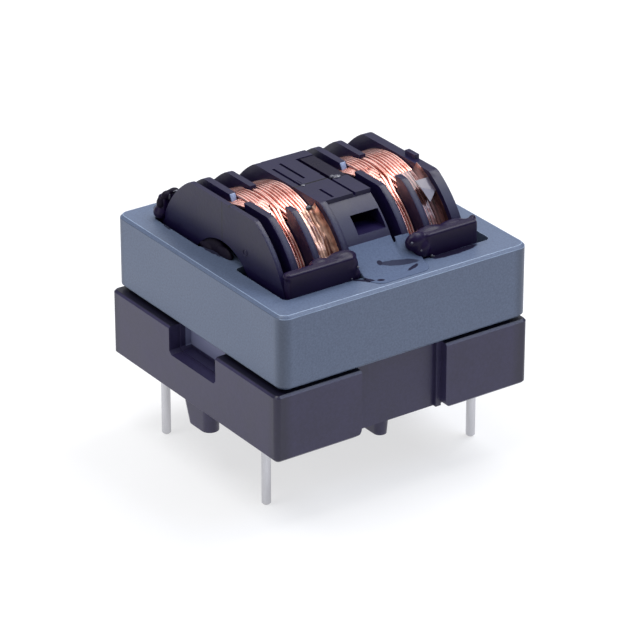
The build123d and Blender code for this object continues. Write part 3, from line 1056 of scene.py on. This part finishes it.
@dataclass
class Winding:
    """One winding: turns of wire in a narrow and a wide chamber, spread over the gap between them."""

    number: int
    shift_mm: float
    slot_x: float = -9.2
    narrow_x: float = -7.70
    narrow_width: float = 1.65
    wide_x: float = -5.45
    wide_width: float = 2.25
    outer_r: float = 8.24
    slot_r: float = 7.28
    inner_r: float = 5.42
    wire_r: float = 0.142
    pitch: float = 0.27
    layer_step: float = 0.22
    steps: int = 96
    layers: int = 3
    hidden_depth: float = 0.62
    spread_mm: float = 0.36
    spread_from: float = -28.0
    rise_over: float = 20.0
    spread_to: float = 30.0
    fall_over: float = 14.0
    wander_mm: float = 0.06
    lift_mm: float = 0.03
    crossing_count: int = 6
    crossing_steps: int = 24
    crossing_sweep: float = 56.0
    crossing_lag: float = 3.0
    crossing_from: float = 0.20
    crossing_gap: float = 0.23
    crossing_depth: float = 0.12
    slot_gap: float = 0.12
    slot_lift: float = 0.08

    def turn(self, x: float, radius: float, spread: float, seed: float) -> list[Point]:
        """Lays one closed turn.

        Args:
            x: The turn's place along the axis, in millimetres.
            radius: The radius of the wire's centre line.
            spread: How far it moves sideways over the open top of the flange.
            seed: What makes its wander its own.

        Returns:
            Its points, in metres.
        """
        points = []
        for step in range(self.steps):
            degrees = 360.0 * step / self.steps
            signed = degrees if degrees <= 180.0 else degrees - 360.0
            rise = min(max((signed - self.spread_from) / self.rise_over, 0.0), 1.0)
            fall = min(max((self.spread_to - signed) / self.fall_over, 0.0), 1.0)
            circle = Vector((math.sin(math.radians(degrees)), math.cos(math.radians(degrees)), seed))
            wander = noise.noise(circle * 1.6) * self.wander_mm
            lift = noise.noise(circle * 2.3 + Vector((5, 3, 0))) * self.lift_mm
            aside = x + spread * ease(rise * fall) + wander
            points.append(around_axis(aside + self.shift_mm, radius + lift, degrees))
        return points

    def chamber(self, left: float, width: float, lean: float) -> list[list[Point]]:
        """Lays the turns of one chamber, layer by layer.

        Args:
            left: The chamber's left side.
            width: Its width.
            lean: 1 where the turns spread to the right over the open flange, -1 to the left.

        Returns:
            One list of points for each turn.
        """
        turns = []
        for layer in range(self.layers):
            odd = layer % 2
            count = int(round((width - 2 * self.wire_r) / self.pitch)) + 1 - odd
            pitch = (width - 2 * self.wire_r) / (count - 1 + odd)
            radius = self.outer_r - self.wire_r - self.layer_step * layer - self.lift_mm
            for index in range(count):
                along = index / (count - 1)
                near = along if lean > 0 else 1 - along
                x = left + self.wire_r + pitch * (index + 0.5 * odd)
                seed = 10.0 * self.number + 3.1 * index + 17.0 * layer + lean
                turns.append(self.turn(x, radius, lean * self.spread_mm * near**2, seed))
        return turns

    def crossings(self) -> list[list[Point]]:
        """Lays the wires that cross from the narrow chamber into the slot beside the end flange.

        Returns:
            One list of points for each wire.
        """
        high, low = self.outer_r - self.crossing_depth, self.slot_r + self.slot_lift
        wires = []
        for index in range(self.crossing_count):
            start = self.narrow_x + self.crossing_from + self.crossing_gap * index
            end = self.slot_x + self.slot_gap * (index + 1)
            first = self.spread_to - self.crossing_lag * index
            sweep = self.crossing_sweep - self.crossing_lag * index
            lane = []
            for step in range(self.crossing_steps):
                share = step / (self.crossing_steps - 1)
                x = start + (end - start) * ease(share) + self.shift_mm
                radius = high + (low - high) * ease(share)
                lane.append(around_axis(x, radius, first - sweep * share))
            wires.append(lane)
        return wires

    def fill(self, piece: Piece, left: float, width: float) -> None:
        """Adds the hidden inner turns of a chamber to a piece, as one ring below the seen ones.

        Args:
            piece: The wound wire.
            left: The chamber's left side.
            width: Its width.
        """
        outer = self.outer_r - self.hidden_depth
        bpy.ops.mesh.primitive_cylinder_add(
            vertices=64,
            radius=outer * MM,
            depth=width * MM,
            location=metres((left + width / 2, 0, AXIS_Z)),
            rotation=(0, QUARTER_TURN, 0),
        )
        ring = settle()
        bpy.ops.object.mode_set(mode="EDIT")
        bpy.ops.mesh.select_all(action="DESELECT")
        bpy.ops.mesh.select_mode(type="FACE")
        close_edit()
        for face in ring.data.polygons:
            face.select = abs(face.normal.x) > 0.9
        bpy.ops.object.mode_set(mode="EDIT")
        bpy.ops.mesh.inset(thickness=(outer - self.inner_r) * MM)
        bpy.ops.mesh.bridge_edge_loops()
        close_edit()
        select_only(piece, ring)
        bpy.ops.object.join()

    def build(self) -> None:
        """Builds the winding as swept wire."""
        curve = bpy.data.curves.new(f"wound_wire_{self.number}", "CURVE")
        curve.dimensions = "3D"
        curve.bevel_depth = self.wire_r * MM
        curve.bevel_resolution = 2
        chambers = ((self.narrow_x, self.narrow_width, 1), (self.wide_x, self.wide_width, -1))
        turns = [turn for chamber in chambers for turn in self.chamber(*chamber)]
        for closed, lanes in ((True, turns), (False, self.crossings())):
            for lane in lanes:
                spline = curve.splines.new("POLY")
                spline.points.add(len(lane) - 1)
                for point, spot in zip(spline.points, lane):
                    point.co = (*spot, 1.0)
                spline.use_cyclic_u = closed
        select_only(link_new(curve.name, curve))
        bpy.ops.object.convert(target="MESH")
        piece = bpy.context.view_layer.objects.active
        for left, width, _ in chambers:
            self.fill(piece, left + self.shift_mm, width)
        smooth(piece, 60.0)
        coat(piece, EnamelledCopper().material())
        dress(piece, "copper", f"winding_{self.number}")


@dataclass
class Film:
    """A strip of film round the front of a wide chamber, wrinkled and turned up at the wall."""

    number: int
    finish: AmberFilm
    shift_mm: float = 0.0
    start: float = 27.0
    end: float = 106.0
    crumple: float = 1.0
    thick_mm: float = 0.04
    profile: tuple[tuple[float, float], ...] = (
        (-5.42, 8.25), (-4.9, 8.33), (-4.45, 8.27), (-3.95, 8.35),
        (-3.6, 8.3), (-3.4, 8.5), (-3.27, 8.8), (-3.23, 9.1),
    )

    def build(self) -> None:
        """Builds the strip by spinning its profile, and then wrinkles and thickens it."""
        rim = [around_axis(x + self.shift_mm, radius, self.start) for x, radius in self.profile]
        mesh = bpy.data.meshes.new(f"film_{self.number}")
        mesh.from_pydata(rim, [(i, i + 1) for i in range(len(rim) - 1)], [])
        piece = link_new(mesh.name, mesh)
        edit_all(piece)
        bpy.ops.mesh.subdivide(number_cuts=3)
        bpy.ops.mesh.spin(
            steps=72,
            angle=math.radians(self.start - self.end),
            center=metres((0, 0, AXIS_Z)),
            axis=(1, 0, 0),
        )
        bpy.ops.mesh.select_all(action="SELECT")
        bpy.ops.mesh.normals_make_consistent(inside=False)
        close_edit()
        for label, size_mm, height_mm in (("fold", 1.0, 0.24), ("crease", 0.45, 0.10)):
            texture = bpy.data.textures.new(f"{label}_{self.number}", "CLOUDS")
            texture.noise_scale = size_mm * MM
            lift = piece.modifiers.new(label, "DISPLACE")
            lift.texture = texture
            lift.texture_coords = "LOCAL"
            lift.strength = height_mm * self.crumple * MM
            lift.mid_level = 0.5
        thicken(piece, self.thick_mm)
        smooth(piece, 60.0)
        coat(piece, self.finish.material())
        dress(piece, "tape", f"tape_{self.number}")


@dataclass
class Flap:
    """The loose corner of the right film, folded back over it from the wall."""

    corners: tuple[Point, ...] = (
        (6.53, -4.73, 23.93),
        (7.86, -4.73, 23.93),
        (7.86, -5.82, 23.15),
        (6.84, -6.46, 22.56),
        (6.63, -5.36, 23.51),
    )
    thick_mm: float = 0.05

    def build(self) -> None:
        """Builds the corner as a thin sheet."""
        mesh = bpy.data.meshes.new("film_flap")
        mesh.from_pydata([metres(corner) for corner in self.corners], [], [range(len(self.corners))])
        piece = link_new(mesh.name, mesh)
        thicken(piece, self.thick_mm)
        edit_all(piece)
        bpy.ops.mesh.normals_make_consistent(inside=False)
        close_edit()
        coat(piece, BondingResin("film_flap", (0.105, 0.085, 0.125), 0.45).material())
        dress(piece, "tape")


@dataclass
class Bars:
    """The retaining bars, with the lumps of resin that have run over them, as centres and radii."""

    voxel_mm: float = 0.07
    rounds: int = 26
    edge_mm: float = 0.08
    front_left: Lumps = (
        ((-3.35, -9.35, 20.55), (0.72, 0.60, 1.10)),
        ((-2.95, -9.55, 19.85), (0.42, 0.45, 0.55)),
        ((-9.6, -9.4, 21.3), (0.35, 0.42, 0.32)),
        ((-4.0, -8.95, 21.25), (1.5, 0.75, 0.62)),
        ((-6.0, -8.75, 21.2), (1.0, 0.6, 0.5)),
    )
    front_right: Lumps = (
        ((3.3, -9.3, 20.95), (1.05, 0.62, 0.85)),
        ((3.75, -9.55, 20.3), (0.8, 0.58, 0.85)),
        ((5.0, -8.85, 21.1), (1.6, 0.7, 0.66)),
        ((7.4, -8.8, 21.1), (1.6, 0.65, 0.56)),
        ((9.3, -9.05, 21.3), (0.38, 0.3, 0.46)),
    )
    back_left: Lumps = (
        ((-9.2, 9.4, 20.6), (0.8, 0.6, 1.1)),
        ((-8.7, 9.2, 21.4), (0.8, 0.5, 0.55)),
        ((-9.7, 9.4, 20.0), (0.55, 0.7, 0.6)),
    )
    back_right: Lumps = ()

    def build(self) -> None:
        """Builds the four bars."""
        finish = MouldedPlastic("bar_resin", (0.010, 0.004, 0.029), 0.34, grain=0.35, gloss=0.18, edge=4.0)
        resin = (self.front_left, self.front_right, self.back_left, self.back_right)
        for place, lumps in zip(PLACES, resin):
            self.bar(place, finish, lumps)

    def bar(self, place: str, finish: MouldedPlastic, lumps: Lumps) -> None:
        """Builds one bar.

        Args:
            place: Which bar.
            finish: Its plastic.
            lumps: The lumps of resin on it.
        """
        piece = node_copy(f"bar_{place}", f"retainer_{place}")
        if lumps:
            solids = [piece] + [ellipsoid(*lump) for lump in lumps]
            piece = melt(f"bar_{place}", solids, self.voxel_mm, self.rounds)
            coat(piece, finish.material())
        else:
            coat(piece, finish.material(), finish.edge_highlight_and_wear())
            soften_edges(piece, self.edge_mm, segments=3, slot=EDGE_SLOT)
        dress(piece, "bar_plastic", f"retainer_{place}")


@dataclass
class Bonds:
    """The bonding resin on the core, the rear bar and under the end flange's arch, with its beads; the dark
    body in the arch is resin and painted shade.
    """

    sunk_mm: float = 0.06
    voxel_mm: float = 0.08
    rounds: int = 8
    glints: tuple[tuple[Point, float], ...] = (
        ((2.5, -9.85, 21.25), 0.11),
        ((3.35, -10.02, 20.4), 0.09),
        ((4.45, -9.98, 19.62), 0.13),
        ((4.65, -10.0, 19.52), 0.09),
        ((-3.0, -9.95, 20.6), 0.11),
        ((-3.6, -9.95, 19.7), 0.08),
    )
    blobs: Lumps = (
        ((0.95, -1.35, 24.45), (0.42, 0.32, 0.22)),
        ((0.7, -1.0, 24.4), (0.25, 0.25, 0.2)),
        ((-2.35, -1.2, 24.48), (0.22, 0.18, 0.1)),
        ((-8.5, 8.75, 21.9), (0.3, 0.12, 0.1)),
        ((-9.15, 8.75, 21.5), (0.1, 0.1, 0.26)),
        ((-3.55, -3.75, 23.75), (0.34, 0.26, 0.2)),
    )
    drop: Lumps = (
        ((-9.2, 9.1, 21.55), (0.5, 0.4, 0.42)),
        ((-8.6, 9.0, 21.9), (0.5, 0.3, 0.22)),
        ((-9.7, 9.3, 20.9), (0.34, 0.4, 0.55)),
    )
    # The dark body in the end flange's arch: resin, and painted shade for the dark gap over the leg.
    arch: Lumps = (
        ((-9.2, 1.9, 19.5), (0.42, 2.2, 1.0)),
        ((-9.4, 0.0, 19.6), (0.3, 1.1, 0.7)),
        ((-9.5, 2.5, 19.45), (0.36, 1.0, 0.4)),
    )

    def build(self) -> None:
        """Builds the sheets, the beads and the two dark bodies."""
        self.sheets()
        self.beads()
        dark = MouldedPlastic("dark_resin_and_shade", (0.007, 0.004, 0.014), 0.5, grain=0.35, gloss=0.12).material()
        dark_bodies = (
            ("bond_drop", self.drop, 0.06, self.rounds, ("resin_drop",)),
            ("bond_arch", self.arch, self.voxel_mm, 4, ()),
        )
        for name, lumps, voxel_mm, rounds, nodes in dark_bodies:
            piece = melt(name, [ellipsoid(*lump) for lump in lumps], voxel_mm, rounds)
            coat(piece, dark)
            dress(piece, "resin", *nodes)

    def sheets(self) -> None:
        """Builds the two sheets, sunk a little, so that their thin borders run out into the core."""
        # The sheets' tones are darker than the core's: painted shade that offsets their tilt towards the
        # lamps.
        light, dark = (0.094, 0.122, 0.196), (0.073, 0.096, 0.156)
        sheet = CoatedFerrite("bonding_sheet", light, dark, roughness=0.6, gloss=0.06).material()
        for end in ("front", "back"):
            solids = [node_copy(f"bond_{end}", f"resin_{end}")]
            piece = melt(f"bond_{end}", solids, self.voxel_mm, self.rounds)
            edit_all(piece)
            bpy.ops.transform.translate(value=(0, 0, -self.sunk_mm * MM))
            close_edit()
            coat(piece, sheet)
            dress(piece, "resin", f"resin_{end}")

    def beads(self) -> None:
        """Builds the clear beads: round glints on the bars, and blobs on the lid, film and rear bar."""
        clear = BondingResin("clear_resin", (0.045, 0.045, 0.07), 0.3).material()
        round_beads = tuple((place, (size, size, size)) for place, size in self.glints)
        for number, bead in enumerate(round_beads + self.blobs, 1):
            piece = ellipsoid(*bead)
            piece.name = f"resin_bead_{number}"
            smooth(piece, 80.0)
            coat(piece, clear)
            dress(piece, "resin")


@dataclass
class Leads:
    """The wire ends between the windings and the pins."""

    def build(self) -> None:
        """Gives the four leads the wire's finish; their own solids stay."""
        copper = EnamelledCopper().material()
        for place in PLACES:
            coat(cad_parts[f"lead_{place}"], copper)


# Studio.


@dataclass(frozen=True)
class SoftBox:
    """One soft square light: where it stands, its size in metres, its strength and its colour."""

    name: str
    place: Point
    size: float
    watts: float
    colour: Colour = (1.0, 1.0, 1.0)

    def build(self, aim: Vector) -> None:
        """Adds the light.

        Args:
            aim: What it looks at.
        """
        data = bpy.data.lights.new(self.name, "AREA")
        data.shape = "SQUARE"
        data.size = self.size
        data.energy = self.watts
        data.color = self.colour
        light = link_new(self.name, data)
        light.location = self.place
        light.rotation_euler = (aim - Vector(self.place)).to_track_quat("-Z", "Y").to_euler()


@dataclass
class Studio:
    """Pale floor, soft light and the camera."""

    aim: Point = (0.000429, 0.000366, 0.010672)
    azimuth: float = -34.895
    elevation: float = 26.217
    distance: float = 0.321356
    focal_px: float = 3780.634
    image_px: float = 640.0
    sensor_mm: float = 36.0
    floor_z: float = -0.00002
    glow: float = 0.66
    room: Colour = (0.90, 0.95, 1.05)
    room_strength: float = 0.30
    lights: tuple[SoftBox, ...] = (
        SoftBox("key", (0.26, 0.03, 0.42), 0.28, 1.50),
        SoftBox("front", (0.24, -0.22, 0.38), 0.24, 0.64, (0.82, 0.94, 1.20)),
        SoftBox("overhead", (-0.14, 0.06, 0.47), 0.32, 1.45),
        SoftBox("rear", (0.12, 0.30, 0.36), 0.34, 0.38),
        SoftBox("left", (-0.45, 0.05, 0.20), 0.30, 0.42),
    )

    def camera(self) -> None:
        """Adds the camera at the photograph's angle."""
        data = bpy.data.cameras.new("camera")
        data.sensor_width = self.sensor_mm
        data.lens = self.focal_px * self.sensor_mm / self.image_px
        data.clip_start = 0.01
        camera = link_new("camera", data)
        az, el = math.radians(self.azimuth), math.radians(self.elevation)
        back = Vector((math.sin(az) * math.cos(el), -math.cos(az) * math.cos(el), math.sin(el)))
        camera.location = Vector(self.aim) + back * self.distance
        camera.rotation_euler = (QUARTER_TURN - el, 0.0, az)
        bpy.context.scene.camera = camera

    def floor(self) -> None:
        """Adds a large pale floor at the pins' tips."""
        bpy.ops.mesh.primitive_plane_add(size=6.0, location=(0, 0, self.floor_z))
        floor = bpy.context.view_layer.objects.active
        floor.name = "floor"
        graph = Graph("floor_paper")
        fibre = graph.noise(60.0, 4.0)
        graph.shade(
            Base_Color=graph.ramp(fibre, (0.3, (0.30, 0.30, 0.305)), (0.7, (0.33, 0.33, 0.335))),
            Roughness=0.9,
            Specular_IOR_Level=0.1,
            Emission_Color=(1.0, 1.0, 1.0),
            Emission_Strength=self.glow,
        )
        coat(floor, graph.material)

    def world(self) -> None:
        """Lights the room evenly from all round."""
        world = bpy.data.worlds.new("room")
        world.use_nodes = True
        background = world.node_tree.nodes["Background"]
        background.inputs["Color"].default_value = (*self.room, 1.0)
        background.inputs["Strength"].default_value = self.room_strength
        bpy.context.scene.world = world
        bpy.context.scene.view_settings.view_transform = "Standard"

    def build(self) -> None:
        """Builds the studio."""
        self.camera()
        self.floor()
        self.world()
        for light in self.lights:
            light.build(Vector(self.aim))


def main() -> None:
    """Builds the choke and the studio."""
    logging.basicConfig(level=logging.INFO, format="%(message)s")
    amber = AmberFilm("amber_film", (0.97, 0.58, 0.41), (0.16, 0.05, 0.04), wrinkled=1.0, gloss=0.45)
    brown = AmberFilm("brown_film", (0.30, 0.13, 0.12), (0.06, 0.022, 0.024), wrinkled=0.10, gloss=0.7)
    Core().build()
    Base().build()
    Bobbin().build()
    Winding(1, 0.0).build()
    Winding(2, WINDING_STEP).build()
    Film(1, amber).build()
    Film(2, brown, WINDING_STEP, start=20.0, crumple=0.35).build()
    Flap().build()
    Bars().build()
    Bonds().build()
    Leads().build()
    Studio().build()


if __name__ == "__main__":
    main()
